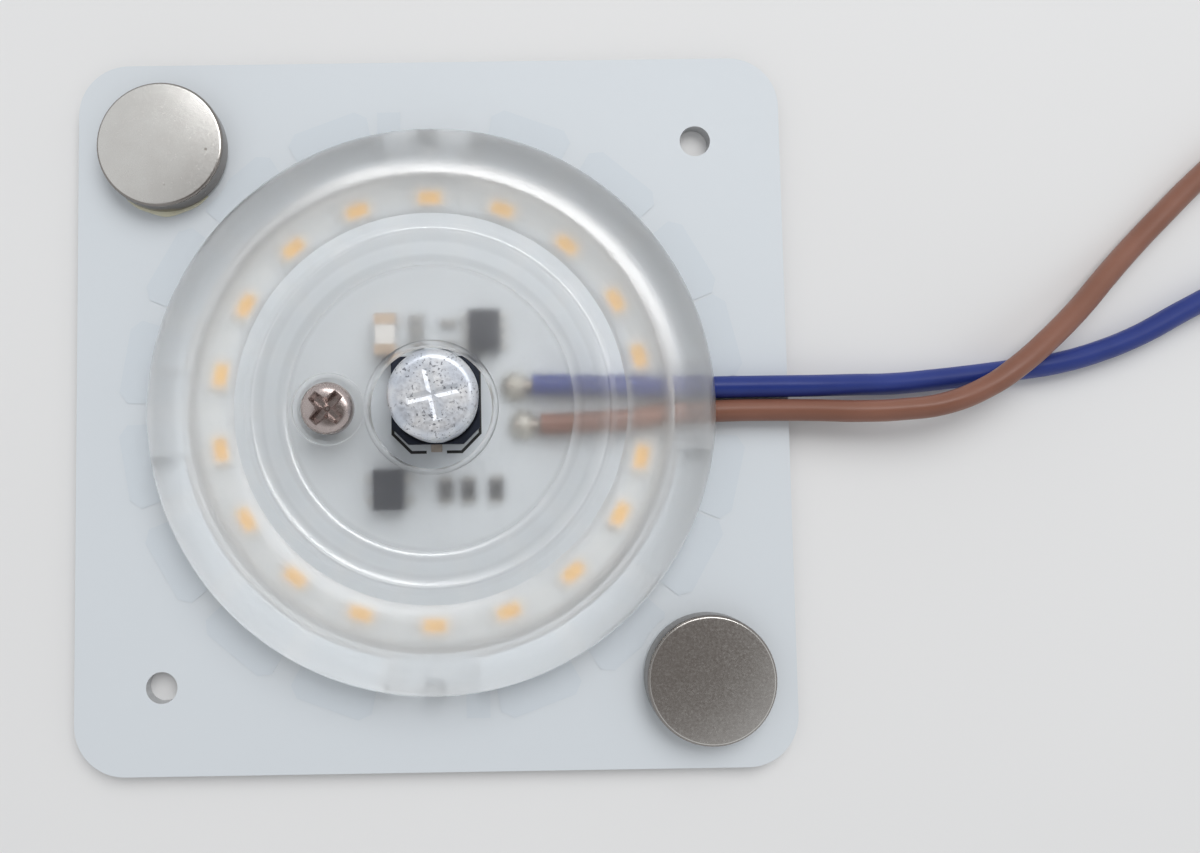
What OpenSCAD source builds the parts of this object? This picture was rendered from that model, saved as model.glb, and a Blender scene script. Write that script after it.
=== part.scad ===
// Square LED light module: an aluminium-core board with a ring of LEDs under a moulded lens,
// its mains driver in the middle, two lead wires and two holding magnets.
// Millimetres, +Z up, origin at the middle of the board's back face.

/* [Board] */
// Side of the square board
board_w = 85; // [75:0.5:100]
// Thickness of the board
board_t = 1.5; // [1:0.1:2.5]
// Radius of the board's corners
board_corner_r = 6; // [2:0.5:10]
// Diameter of the two fixing holes
fixing_hole_d = 3.7; // [3:0.1:4.5]
// Side of the square on which the fixing holes sit
fixing_pitch = 64.5; // [62:0.5:68]
// Height of the etched copper under the white mask
land_t = 0.06; // [0.03:0.01:0.15]
// Distance of a copper land's outer edge from the middle
land_outer_r = 37.3; // [36:0.1:38]
// Distance of a copper land's inner edge from the middle
land_inner_r = 17.5; // [17:0.25:20]
// Distance of the outer edge of the two short lands from the middle
land_short_r = 31; // [29:0.1:32]
// Gap between neighbouring lands
land_gap = 0.6; // [0.3:0.1:1]
// Chamfer of a land's outer corners
land_chamfer = 1.2; // [0.5:0.1:2]
// Width of the slit that parts a land between an LED's terminals
land_slit = 0.4; // [0.2:0.05:0.8]
// Distance from a slit's bend to the LED inside it
land_slit_gap = 1; // [0.5:0.1:1.5]
// Clear ring in the lands round a magnet's glue
land_clearance = 0.3; // [0.1:0.05:0.6]
// Width of the test tab beside each short land
tab_w = 2.8; // [2:0.1:3.5]
// Distance of a test tab's middle from the short land's middle line
tab_x = 4.9; // [4.5:0.1:5.5]
// Distance of a test tab's outer end from the middle
tab_end = 36.3; // [35:0.1:37.5]

/* [Lens] */
// Outer diameter of the lens
lens_d = 66; // [64:0.5:70]
// Height of the lens's upright outer wall
lens_edge_h = 2.6; // [2:0.1:3.2]
// Radius of the outer hump's crest
crest_r = 26.8; // [26.4:0.1:27.2]
// Height at which the hump's two sides would be level
crest_h = 6.1; // [5.8:0.1:7]
// Run in from the crest at which the outer slope would be level
crest_run_in = 1; // [0.6:0.1:1.6]
// Run out from the crest at which the hump's inner side would be level
crest_run_out = 0.5; // [0.2:0.1:1]
// Height of the crease between the hump and the inner ridge
valley_h = 5; // [4.8:0.05:5.2]
// Run from the crease in to the inner ridge's edge
ridge_run = 1.9; // [1.5:0.1:2.2]
// Rise of the inner ridge's edge above the ledge
ridge_rise = 0.45; // [0.3:0.05:0.7]
// Run of the hollow curve from the ledge up to the inner ridge's edge
cove_run = 2.1; // [1.8:0.1:2.3]
// Width of the ledge round the disc's step
ledge_w = 0.7; // [0.4:0.1:0.9]
// Height of the ledge round the disc's step
ledge_h = 5.15; // [5:0.05:5.3]
// Run of the rounded step from the disc up to the ledge
step_run = 1.3; // [0.8:0.1:1.5]
// Radius of the flat middle disc
disc_r = 16.3; // [16:0.1:16.6]
// Height of the flat middle disc
disc_h = 4.7; // [4.5:0.05:4.9]
// Thickness of the flat middle disc
disc_t = 1.5; // [1:0.05:1.7]
// Run of the slope from the disc's underside down to the hollow
ceiling_run = 1; // [0.5:0.1:1.5]
// Diameter of the hole in the middle of the lens
lens_hole_d = 14; // [13.6:0.1:15]
// Width of the bead round the middle hole
hole_bead_w = 0.7; // [0.4:0.1:1]
// Height of the bead round the middle hole
hole_bead_h = 0.3; // [0.1:0.05:0.6]
// Height of the hollow under the lens
hollow_h = 2.9; // [2.85:0.05:3.1]
// Width of the roof between the LED groove and the solid foot ring
foot_gap = 0.9; // [0.8:0.1:1.2]
// Radius of the fillet where the roof meets the foot ring
foot_fillet = 0.7; // [0.3:0.05:0.75]
// Half width of the groove over the LEDs
groove_half_w = 2.4; // [2:0.1:2.6]
// Rise of the groove over the LEDs above the hollow
groove_rise = 1.6; // [0.8:0.1:1.8]
// Width of the four lead tunnels through the foot ring
tunnel_w = 10.2; // [8.5:0.1:12]
// Height of the four lead tunnels
tunnel_h = 2.8; // [2.75:0.05:2.85]
// Width of the round-nosed post in two of the tunnels
post_w = 2.6; // [1.5:0.1:4]
// Length of the round-nosed post in from the rim
post_len = 2.8; // [2:0.1:4]

/* [Lens screw] */
// Width of the disc between its middle hole and the screw's pocket
screw_gap = 0.7; // [0.5:0.1:1]
// Diameter of the screw's thread
screw_d = 2.9; // [2.5:0.1:3.1]
// Height of the screw's tip above the board's back
screw_tip_h = 0.4; // [0.1:0.1:1]
// Diameter of the pan head
screw_head_d = 6; // [5:0.1:6.5]
// Height of the pan head
screw_head_h = 2.2; // [1.6:0.1:2.6]
// Height of the pan head's upright rim
screw_rim_h = 1; // [0.6:0.1:1.2]
// Chamfer under the pan head's rim
screw_chamfer = 0.1; // [0.05:0.05:0.3]
// Turn of the cross recess
cross_turn = 45; // [0:5:90]
// Width of a slot of the cross recess
cross_slot_w = 0.9; // [0.5:0.05:1]
// Length of the cross recess from tip to tip
cross_len = 4; // [2.5:0.1:4.4]
// Depth of the cross recess
cross_depth = 1.3; // [0.8:0.1:1.5]
// Diameter of the pocket round the screw head
screw_pocket_d = 8.2; // [7.4:0.1:8.6]
// Depth of the pocket round the screw head
screw_pocket_depth = 0.8; // [0.4:0.1:1]
// Diameter of the boss that stands on the board
screw_boss_d = 7.4; // [5:0.1:8]
// Clearance of the screw in the lens, all round
screw_clearance = 0.2; // [0.1:0.05:0.4]
// Clearance of the screw in its board hole, all round
thread_clearance = 0.05; // [0.02:0.01:0.1]

/* [Capacitor] */
// Place of the capacitor along X
cap_x = 0.4; // [0:0.1:0.5]
// Place of the capacitor along Y
cap_y = 1; // [0.6:0.1:1.2]
// Diameter of the can
can_d = 10; // [8:0.1:10.4]
// Height of the can
can_h = 9.4; // [7:0.1:12]
// Radius of the can's shoulder
can_shoulder_r = 1; // [0.5:0.1:1.5]
// Chamfer of the can's foot
can_foot_chamfer = 0.3; // [0.1:0.05:0.5]
// Depth of the crimped groove near the can's foot
crimp_depth = 0.45; // [0.2:0.05:0.7]
// Height of the crimped groove above the can's foot
crimp_z = 1.7; // [1.2:0.1:2.5]
// Depth of the vent score in the top
score_depth = 0.2; // [0.1:0.05:0.4]
// Width of the vent score
score_w = 0.5; // [0.2:0.05:0.8]
// Length of the vent score from tip to tip
score_len = 5.8; // [4:0.1:6.5]
// Turn of the vent score
score_turn = 12; // [0:1:90]
// How far the square base stands out past the can on each side
cap_base_margin = 0.15; // [0.1:0.05:0.3]
// Thickness of the base under the can
cap_base_t = 1; // [0.6:0.1:1.6]
// Height of the base's corner horns
cap_horn_h = 2.2; // [1.8:0.1:3]
// Chamfer of the two marked corners of the base
cap_chamfer = 1.9; // [1:0.1:2.4]
// Clearance between the can and the corner horns
cap_horn_clearance = 0.3; // [0.2:0.05:0.5]
// Width of a terminal tab
cap_tab_w = 1.3; // [0.8:0.1:2]
// Thickness of a terminal tab
cap_tab_t = 0.2; // [0.1:0.02:0.3]
// Length of a terminal tab outside the base
cap_tab_out = 0.9; // [0.5:0.1:1.4]
// Length of a terminal tab under the base
cap_tab_in = 2.6; // [1.5:0.1:3.5]

/* [LEDs] */
// Number of LEDs in the ring
led_count = 18; // [14:4:18]
// Radius of the ring of LEDs
led_ring_r = 25.4; // [25:0.1:25.6]
// Length of an LED along the ring
led_l = 3.5; // [3:0.1:3.6]
// Width of an LED across the ring
led_w = 2.8; // [2:0.1:3]
// Height of the LED's white housing
led_h = 0.6; // [0.5:0.05:1]
// Margin of white housing round the phosphor
led_margin = 0.4; // [0.25:0.05:0.6]
// Depth of the phosphor pocket
led_pocket = 0.4; // [0.2:0.05:0.45]
// How far the phosphor stays below the housing's rim
led_fill_gap = 0.08; // [0.02:0.02:0.15]
// Thickness of an LED's terminals
led_terminal_t = 0.12; // [0.08:0.02:0.25]
// How far a terminal stands out of the housing
led_terminal_out = 0.12; // [0.05:0.01:0.2]
// Gap between the two terminals of an LED
led_terminal_gap = 1.4; // [1:0.1:1.8]
// Distance of the two LEDs beside the leads from the middle line between them
led_lead_y = 6; // [5.7:0.05:6.3]

/* [Driver parts] */
// Place of the driver chip along X
driver_x = 6.3; // [6:0.1:6.6]
// Gap between the capacitor's base and the driver chip
driver_gap = 0.7; // [0.4:0.1:1]
// Width of the driver chip between its rows of legs
driver_w = 3.9; // [3.6:0.1:4.2]
// Length of the driver chip along its rows of legs
driver_l = 4.9; // [4.7:0.1:5.2]
// Height of the driver chip
driver_h = 1.5; // [1.2:0.05:1.8]
// Spacing of the driver chip's legs
driver_leg_pitch = 1.27; // [1:0.01:1.3]
// Width of a driver leg
driver_leg_w = 0.42; // [0.3:0.02:0.6]
// Number of legs along a side of the driver chip
driver_leg_count = 4; // [3:1:4]
// Diameter of the driver chip's first-leg dot
driver_dot_d = 0.7; // [0.4:0.1:1]
// Depth of the driver chip's first-leg dot
driver_dot_depth = 0.06; // [0.04:0.01:0.12]
// Distance of the dot from the chip's two nearest sides
driver_dot_inset = 0.8; // [0.7:0.05:1.2]
// Place of the bridge rectifier along X
rectifier_x = -5.2; // [-5.6:0.1:-4.8]
// Place of the bridge rectifier along Y
rectifier_y = -9.4; // [-9.8:0.1:-9]
// Width of the rectifier between its legs
rectifier_w = 3.9; // [3.6:0.1:4.2]
// Length of the rectifier
rectifier_l = 4.8; // [4.6:0.1:5.2]
// Height of the rectifier
rectifier_h = 2.3; // [1.8:0.1:2.6]
// Spacing of the rectifier's legs
rectifier_leg_pitch = 2.54; // [2.4:0.02:3]
// Width of a rectifier leg
rectifier_leg_w = 0.65; // [0.4:0.05:0.9]
// Number of legs along a side of the rectifier
rectifier_leg_count = 2; // [1:1:2]
// Thickness of the legs of both chips
leg_t = 0.2; // [0.12:0.02:0.26]
// Reach of the legs of both chips beyond the body
leg_reach = 1.05; // [0.8:0.05:1.1]
// Length of a leg's foot on the board
leg_foot = 0.55; // [0.3:0.05:0.6]
// Gap between the bodies of both chips and the board
chip_standoff = 0.1; // [0.05:0.05:0.2]
// Lean of the chips' moulded sides
chip_draft = 0.14; // [0.05:0.01:0.25]
// Length of a sense resistor
resistor_l = 3.2; // [2.6:0.1:3.6]
// Width of a sense resistor
resistor_w = 1.6; // [1.2:0.1:1.8]
// Height of a sense resistor
resistor_h = 0.6; // [0.4:0.05:1]
// Length of a resistor's metal end
resistor_end_l = 0.5; // [0.3:0.05:0.7]
// Length of a small chip
chip_l = 1.6; // [1.2:0.1:1.7]
// Width of a small chip
chip_w = 0.8; // [0.5:0.1:1]
// Height of a small chip
chip_h = 0.8; // [0.4:0.05:1]
// Length of a small chip's metal end
chip_end_l = 0.35; // [0.2:0.05:0.5]
// Gap between the driver chip's legs and the nearest small chips
chip_gap = 0.5; // [0.3:0.1:0.8]
// Distance between the two columns of small chips
chip_columns = 3.75; // [3.2:0.05:4]
// Place of the fuse along X
fuse_x = -5.4; // [-5.8:0.1:-5]
// Gap between the capacitor's base and the fuse
fuse_gap = 0.25; // [0.15:0.05:0.8]
// Overall length of the fuse
fuse_l = 4.8; // [4:0.1:5]
// Width of the fuse's end caps
fuse_w = 2.5; // [2:0.1:2.8]
// Length of an end cap of the fuse
fuse_cap_l = 1.2; // [0.8:0.1:1.6]
// How far the caps stand proud of the fuse body
fuse_cap_step = 0.12; // [0.05:0.01:0.25]

/* [Leads] */
// Diameter of a lead's insulation
lead_d = 2.6; // [2:0.1:2.65]
// Diameter of a lead's bare strands
core_d = 1.1; // [0.6:0.1:1.5]
// Length of the bare end inside the lens
soldered_end_l = 3; // [2:0.1:3.4]
// Length of the bare end of the free tip
tip_l = 6; // [4:0.5:10]
// Radius of a solder joint
solder_r = 1.8; // [1.2:0.1:2]
// Height of a solder joint
solder_h = 2.1; // [2:0.05:2.6]
// Gap between a solder joint and its lead's insulation
solder_gap = 0.1; // [0.05:0.05:0.3]

/* [Magnets] */
// Diameter of a magnet
magnet_d = 15; // [12:0.5:16]
// Thickness of a magnet
magnet_t = 2.5; // [1.5:0.1:4]
// Radius of a magnet's rounded edges
magnet_edge_r = 0.4; // [0.2:0.05:0.6]
// Gap between a magnet and the lens's rim
magnet_gap = 4.5; // [3:0.1:5.5]
// Thickness of the glue under a magnet
glue_t = 0.1; // [0.05:0.01:0.2]
// Width of the glue squeezed out beside a magnet
glue_bead_w = 0.5; // [0.2:0.05:1]
// Height of the glue squeezed out beside a magnet
glue_bead_h = 0.4; // [0.2:0.05:0.8]
// Direction from a magnet in which the squeezed-out glue starts
glue_bead_turn = 225; // [180:5:270]
// Angle that the squeezed-out glue spans round a magnet
glue_bead_span = 90; // [40:5:120]

/* [Hidden] */
$fn = 96;
// Overlap that makes joins clean
eps = 0.01;
// Reach of a cut past the face that it opens
cut = 1;
// Steps in a quarter of a moulded curve
arc_steps = 10;
// Steps in a small rounded edge
edge_steps = 5;
// Sides of a lead's section
lead_sides = 8;

land_z = board_t + land_t;
lens_r = lens_d / 2;
lens_hole_r = lens_hole_d / 2;
foot_inner_r = led_ring_r + groove_half_w + foot_gap;
ledge_r = disc_r + step_run;
cove_r = ledge_r + ledge_w;
ridge_r = cove_r + cove_run;
valley_r = ridge_r + ridge_run;
screw_x = lens_hole_r + screw_gap + screw_pocket_d / 2;
screw_seat_h = disc_h - screw_pocket_depth;
screw_len = land_z + screw_seat_h - screw_tip_h;
fixing = fixing_pitch / 2;
magnet = (lens_r + magnet_gap + magnet_d / 2) / sqrt(2);
led_pitch = 360 / led_count;
led_lead_angle = asin(led_lead_y / led_ring_r);
cap_base_w = can_d + 2 * cap_base_margin;
cap_edge_y = cap_y + cap_base_w / 2;
driver_y = cap_edge_y + driver_gap + driver_l / 2;
fuse_y = cap_edge_y + fuse_gap + fuse_l / 2;

// Sense resistors stand in one row, small chips in two columns
resistor_xs = [1.5, 4.2, 7.5];
resistor_y = -9.6;
right_chip_x = driver_x - driver_w / 2 - leg_reach - chip_gap - chip_l / 2;
left_chip_x = right_chip_x - chip_columns;
chip_places = concat(
    [for (y = [7.9, 9.4, 10.9]) [left_chip_x, y]],
    [for (y = [7.7, 10.3]) [right_chip_x, y]]);

// Middle line of each lead, from its solder joint to its free tip
blue_route = [
    [11.8, 2.6, 2.9], [15, 2.6, 2.9], [20, 2.4, 2.9], [25, 2.2, 2.9], [30, 2.1, 2.9], [35, 2.1, 2.9],
    [40, 2.1, 2.9], [45, 2.1, 2.8], [50, 2.2, 2.3], [55, 2.3, 1.7], [60, 2.7, 1.4], [65, 3.2, 1.3],
    [70, 3.8, 1.3], [75, 4.5, 1.3], [80, 5.8, 1.3], [85, 7.7, 1.3], [91, 10.8, 1.3], [96, 13.2, 1.3],
    [101, 15, 1.3], [106, 16.1, 1.3], [111, 16.5, 1.3], [116, 16.5, 1.3], [120, 16.5, 1.3]
];
brown_route = [
    [12.7, -2, 2.9], [16, -2, 2.9], [20, -1.8, 2.9], [25, -1.4, 2.9], [30, -0.9, 2.9], [35, -0.7, 2.9],
    [40, -0.7, 2.9], [45, -0.8, 3], [50, -1, 3.2], [55, -0.9, 3.5], [60, -0.3, 3.8], [65, 1.6, 4],
    [69, 4.2, 4], [73, 7.4, 3.6], [77, 10.9, 2.9], [81, 14.8, 2], [85, 18.7, 1.4], [89, 22.6, 1.3],
    [93, 26.4, 1.3], [97, 29.8, 1.3], [101.5, 32.7, 1.3], [106.5, 34.6, 1.3], [111.5, 35.4, 1.3],
    [116.5, 35.4, 1.3]
];

led_names = [for (i = [1 : led_count]) str("led_", i)];
resistor_names = [for (i = [1 : len(resistor_xs)]) str("sense_resistor_", i)];
chip_names = [for (i = [1 : len(chip_places)]) str("small_chip_", i)];

// Points on an elliptic arc in the section plane; one that carries on from another skips its first
function arc(r, z, half_w, half_h, from, to, steps = arc_steps, first = 0) =
    [for (i = [first : steps])
        let (a = from + (to - from) * i / steps)
        [r + half_w * cos(a), z + half_h * sin(a)]];

// Angle at which an ellipse of this height passes a level
function rise_angle(level, base, top) = asin((level - base) / (top - base));

// Angle of LED number i round the ring; the two beside the leads stand further apart
function led_angle(i) =
    let (a = 90 - led_pitch * i, turn = a < -180 ? a + 360 : a)
    abs(turn) < led_pitch ? sign(turn) * led_lead_angle : turn;

// Half width of an ellipse that falls from its top at one radius to a level at another
function half_width(run, level, base, top) = run / cos(rise_angle(level, base, top));

// Section of the lens, foot at zero height: top face inwards, then underside outwards
function lens_section() =
    let (ceiling_h = disc_h - disc_t,
         rise = crest_h - lens_edge_h,
         slope_r = crest_r - crest_run_in,
         slope_end = acos(crest_run_in / (lens_r - slope_r)),
         hump_r = crest_r + crest_run_out,
         hump_w = half_width(hump_r - valley_r, valley_h, lens_edge_h, crest_h),
         hump_start = 180 - acos(crest_run_out / hump_w),
         hump_end = 180 - rise_angle(valley_h, lens_edge_h, crest_h),
         climb = 2 * atan(ridge_rise / cove_run),
         cove_radius = cove_run / sin(climb))
    concat(
        [[lens_r, 0]],
        arc(slope_r, lens_edge_h, lens_r - slope_r, rise, 0, slope_end),
        arc(hump_r, lens_edge_h, hump_w, rise, hump_start, hump_end, first = 1),
        arc(cove_r, ledge_h + cove_radius, cove_radius, cove_radius, 270 + climb, 270),
        arc(ledge_r, disc_h, step_run, ledge_h - disc_h, 90, 180),
        arc(lens_hole_r + hole_bead_w / 2, disc_h, hole_bead_w / 2, hole_bead_h, 0, 180, 2 * edge_steps),
        [[lens_hole_r, ceiling_h], [disc_r, ceiling_h], [disc_r + ceiling_run, hollow_h]],
        arc(led_ring_r, hollow_h, groove_half_w, groove_rise, 180, 0),
        arc(foot_inner_r - foot_fillet, hollow_h - foot_fillet, foot_fillet, foot_fillet, 90, 0, edge_steps),
        [[foot_inner_r, 0]]);

// Points and faces of a tube along a route
function unit(v) = v / norm(v);
function route_dir(route, i) =
    unit(route[min(i + 1, len(route) - 1)] - route[max(i - 1, 0)]);
function ring_point(route, i, k) =
    let (dir = route_dir(route, i),
         side = unit(cross(dir, [0, 0, 1])),
         up = cross(side, dir),
         a = 360 * (k + 0.5) / lead_sides)
    route[i] + lead_d / 2 * (cos(a) * side + sin(a) * up);
function wall_faces(rings) =
    [for (i = [0 : rings - 2], k = [0 : lead_sides - 1])
        let (n = (k + 1) % lead_sides, a = i * lead_sides, b = a + lead_sides)
        each [[a + k, b + k, b + n], [a + k, b + n, a + n]]];

module tube(route) {
    last = (len(route) - 1) * lead_sides;
    points = [for (i = [0 : len(route) - 1], k = [0 : lead_sides - 1]) ring_point(route, i, k)];
    start_cap = [for (k = [0 : lead_sides - 1]) k];
    end_cap = [for (k = [lead_sides - 1 : -1 : 0]) last + k];
    polyhedron(points, concat(wall_faces(len(route)), [start_cap, end_cap]));
}

module at_each_led() {
    for (i = [0 : led_count - 1]) at_led(i) children();
}

module at_led(i) {
    rotate(led_angle(i)) translate([led_ring_r, 0, land_z]) children();
}

// A box centred in X and Y that stands on its own floor
module block(x, y, z) {
    translate([-x / 2, -y / 2, 0]) cube([x, y, z]);
}

module board_outline() {
    inner = board_w - 2 * board_corner_r;
    square([inner, board_w], center = true);
    square([board_w, inner], center = true);
    for (x = [-1, 1], y = [-1, 1])
        translate([x, y] * inner / 2) circle(r = board_corner_r);
}

// Land under one LED, pointing along X: a wedge with chamfered corners, slit between the terminals
module land_outline(outer_r) {
    half_angle = (1.5 * led_pitch - led_lead_angle) / 2;
    inner_w = land_inner_r * tan(half_angle) - land_gap / 2;
    outer_w = outer_r * tan(half_angle) - land_gap / 2;
    bend_x = led_ring_r + led_w / 2 + land_slit_gap;
    difference() {
        polygon([
            [land_inner_r, inner_w], [land_inner_r, -inner_w],
            [outer_r - land_chamfer, -outer_w], [outer_r, land_chamfer - outer_w],
            [outer_r, outer_w - land_chamfer], [outer_r - land_chamfer, outer_w]]);
        translate([land_inner_r - cut, -land_slit / 2]) square([bend_x - land_inner_r + cut, land_slit]);
        translate([bend_x - land_slit, -land_slit / 2]) square([land_slit, outer_w + cut]);
    }
}

// The land of each LED, the short ones with their test tabs, cut back round the magnets
module copper_lands() {
    difference() {
        linear_extrude(land_t) for (i = [0 : led_count - 1]) rotate(led_angle(i)) {
            short = abs(led_angle(i)) == 90;
            land_outline(short ? land_short_r : land_outer_r);
            if (short) translate([foot_inner_r, tab_x - tab_w / 2]) square([tab_end - foot_inner_r, tab_w]);
        }
        for (s = [-1, 1]) translate([s * magnet, -s * magnet, -cut])
            cylinder(r = magnet_d / 2 + glue_bead_w + land_clearance, h = land_t + 2 * cut);
    }
}

// Hole right through the board
module board_hole(x, y, d) {
    translate([x, y, -cut]) cylinder(d = d, h = board_t + 2 * cut);
}

module circuit_board() {
    color("gainsboro") difference() {
        union() {
            linear_extrude(board_t) board_outline();
            translate([0, 0, board_t]) copper_lands();
        }
        for (s = [-1, 1]) board_hole(s * fixing, s * fixing, fixing_hole_d);
        board_hole(-screw_x, 0, screw_d + 2 * thread_clearance);
    }
}

// Tunnel through the foot ring, seen from above; a post stands in the middle of some
module tunnel_outline(with_post) {
    start = foot_inner_r - cut;
    difference() {
        translate([start, -tunnel_w / 2]) square([lens_r + cut - start, tunnel_w]);
        if (with_post) {
            nose_x = lens_r - post_len + post_w / 2;
            translate([nose_x, 0]) circle(d = post_w);
            translate([nose_x, -post_w / 2]) square([post_len + cut, post_w]);
        }
    }
}

module lens_cover() {
    color("whitesmoke", 0.5) translate([0, 0, land_z]) difference() {
        union() {
            rotate_extrude() polygon(lens_section());
            translate([-screw_x, 0, -land_t]) cylinder(d = screw_boss_d, h = disc_h - disc_t / 2 + land_t);
        }
        for (q = [0 : 3])
            rotate(90 * q) translate([0, 0, -cut]) linear_extrude(tunnel_h + cut) tunnel_outline(q % 2 == 1);
        translate([-screw_x, 0, -cut])
            cylinder(d = screw_d + 2 * screw_clearance, h = disc_h + 2 * cut);
        translate([-screw_x, 0, screw_seat_h])
            cylinder(d = screw_pocket_d, h = screw_pocket_depth + cut);
    }
}

module pan_head() {
    r = screw_head_d / 2;
    rotate_extrude() polygon(concat(
        [[0, 0], [r - screw_chamfer, 0], [r, screw_chamfer]],
        arc(0, screw_rim_h, r, screw_head_h - screw_rim_h, 0, 90)));
}

module lens_screw() {
    color("rosybrown") translate([-screw_x, 0, land_z + screw_seat_h]) {
        difference() {
            pan_head();
            translate([0, 0, screw_head_h - cross_depth]) {
                for (turn = [0, 90])
                    rotate(turn + cross_turn) block(cross_len, cross_slot_w, cross_depth + cut);
                cylinder(d1 = cross_slot_w, d2 = 2 * cross_slot_w, h = cross_depth + eps);
            }
        }
        translate([0, 0, -screw_len]) cylinder(d = screw_d, h = screw_len + eps);
    }
}

module at_capacitor() {
    translate([cap_x, cap_y, board_t]) children();
}

// The two terminal tabs, seen from above
module capacitor_tab_outline() {
    for (s = [-1, 1])
        translate([0, s * (cap_base_w / 2 + (cap_tab_out - cap_tab_in) / 2)])
            square([cap_tab_w, cap_tab_in + cap_tab_out], center = true);
}

module capacitor_base() {
    h = cap_base_w / 2;
    color([0.1, 0.1, 0.1]) at_capacitor() difference() {
        linear_extrude(cap_horn_h) polygon([
            [-h, h], [-h, -h + cap_chamfer], [-h + cap_chamfer, -h],
            [h - cap_chamfer, -h], [h, -h + cap_chamfer], [h, h]]);
        translate([0, 0, cap_base_t])
            cylinder(r = can_d / 2 + cap_horn_clearance, h = cap_horn_h);
        translate([0, 0, -cut]) linear_extrude(cut + cap_tab_t) capacitor_tab_outline();
    }
}

module capacitor_terminals() {
    color("silver") at_capacitor() linear_extrude(cap_tab_t) capacitor_tab_outline();
}

module capacitor_can() {
    r = can_d / 2;
    top = can_h - can_shoulder_r;
    color("lightgray") at_capacitor() translate([0, 0, cap_base_t]) difference() {
        rotate_extrude() polygon(concat(
            [[0, 0], [r - can_foot_chamfer, 0], [r, can_foot_chamfer], [r, crimp_z - crimp_depth]],
            [[r - crimp_depth, crimp_z], [r, crimp_z + crimp_depth]],
            arc(r - can_shoulder_r, top, can_shoulder_r, can_shoulder_r, 0, 90),
            [[0, can_h]]));
        for (turn = [0, 90])
            translate([0, 0, can_h - score_depth]) rotate(turn + score_turn)
                block(score_len, score_w, score_depth + cut);
    }
}

// One LED: the white housing with its pocket
module led(i) {
    color("ivory") at_led(i) translate([0, 0, led_terminal_t]) difference() {
        block(led_w, led_l, led_h);
        translate([0, 0, led_h - led_pocket])
            block(led_w - 2 * led_margin, led_l - 2 * led_margin, led_pocket + cut);
    }
}

module led_phosphor() {
    color("orange") at_each_led() translate([0, 0, led_terminal_t + led_h - led_pocket])
        block(led_w - 2 * led_margin, led_l - 2 * led_margin, led_pocket - led_fill_gap);
}

module led_terminals() {
    pad_l = (led_l - led_terminal_gap) / 2 + led_terminal_out;
    color("silver") at_each_led() for (s = [-1, 1])
        translate([0, s * (led_terminal_gap + pad_l) / 2, 0])
            block(led_w - 2 * led_margin, pad_l, led_terminal_t);
}

// Moulded chip body with leaning sides
module moulded_body(w, l, h) {
    mid = h / 2;
    half = w / 2;
    translate([0, l / 2, chip_standoff]) rotate([90, 0, 0]) linear_extrude(l) polygon([
        [-half + chip_draft, 0], [half - chip_draft, 0], [half, mid],
        [half - chip_draft, h], [-half + chip_draft, h], [-half, mid]]);
}

// Bent leg that leaves the body at half height and ends in a foot on the board
module gull_leg(half, h, w) {
    exit_z = chip_standoff + h / 2;
    low = exit_z - leg_t / 2;
    high = exit_z + leg_t / 2;
    face_x = half - chip_draft * leg_t / h;
    heel_x = half + leg_reach - leg_foot;
    translate([0, w / 2, 0]) rotate([90, 0, 0]) linear_extrude(w) polygon([
        [half, exit_z], [face_x, low], [heel_x - leg_t, low], [heel_x - leg_t, 0],
        [half + leg_reach, 0], [half + leg_reach, leg_t], [heel_x, leg_t], [heel_x, high],
        [face_x, high]]);
}

module leg_rows(w, h, leg_w, pitch, per_side) {
    for (turn = [0, 180], i = [0 : per_side - 1])
        rotate(turn) translate([0, (i - (per_side - 1) / 2) * pitch, 0]) gull_leg(w / 2, h, leg_w);
}

module driver_chip() {
    dot_x = driver_dot_inset - driver_w / 2;
    dot_y = driver_l / 2 - driver_dot_inset;
    color([0.15, 0.15, 0.17]) translate([driver_x, driver_y, board_t]) difference() {
        moulded_body(driver_w, driver_l, driver_h);
        translate([dot_x, dot_y, chip_standoff + driver_h - driver_dot_depth])
            cylinder(d = driver_dot_d, h = driver_dot_depth + cut);
    }
}

module driver_legs() {
    color("silver") translate([driver_x, driver_y, board_t])
        leg_rows(driver_w, driver_h, driver_leg_w, driver_leg_pitch, driver_leg_count);
}

module bridge_rectifier() {
    color([0.12, 0.12, 0.14]) translate([rectifier_x, rectifier_y, board_t])
        moulded_body(rectifier_w, rectifier_l, rectifier_h);
}

module rectifier_legs() {
    color("silver") translate([rectifier_x, rectifier_y, board_t])
        leg_rows(rectifier_w, rectifier_h, rectifier_leg_w, rectifier_leg_pitch, rectifier_leg_count);
}

// Ends of a chip part that lies along Y
module chip_ends(l, w, h, end_l) {
    for (s = [-1, 1]) translate([0, s * (l - end_l) / 2, 0]) block(w, end_l, h);
}

module at_resistor(i) {
    translate([resistor_xs[i], resistor_y, board_t]) children();
}

module sense_resistor(i) {
    color([0.13, 0.13, 0.13]) at_resistor(i) block(resistor_w, resistor_l - 2 * resistor_end_l, resistor_h);
}

module resistor_ends() {
    color("silver") for (i = [0 : len(resistor_xs) - 1])
        at_resistor(i) chip_ends(resistor_l, resistor_w, resistor_h, resistor_end_l);
}

module at_chip(i) {
    translate([chip_places[i].x, chip_places[i].y, board_t]) rotate(90) children();
}

module small_chip(i) {
    color("tan") at_chip(i) block(chip_w, chip_l - 2 * chip_end_l, chip_h);
}

module small_chip_ends() {
    color("silver") for (i = [0 : len(chip_places) - 1])
        at_chip(i) chip_ends(chip_l, chip_w, chip_h, chip_end_l);
}

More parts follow.
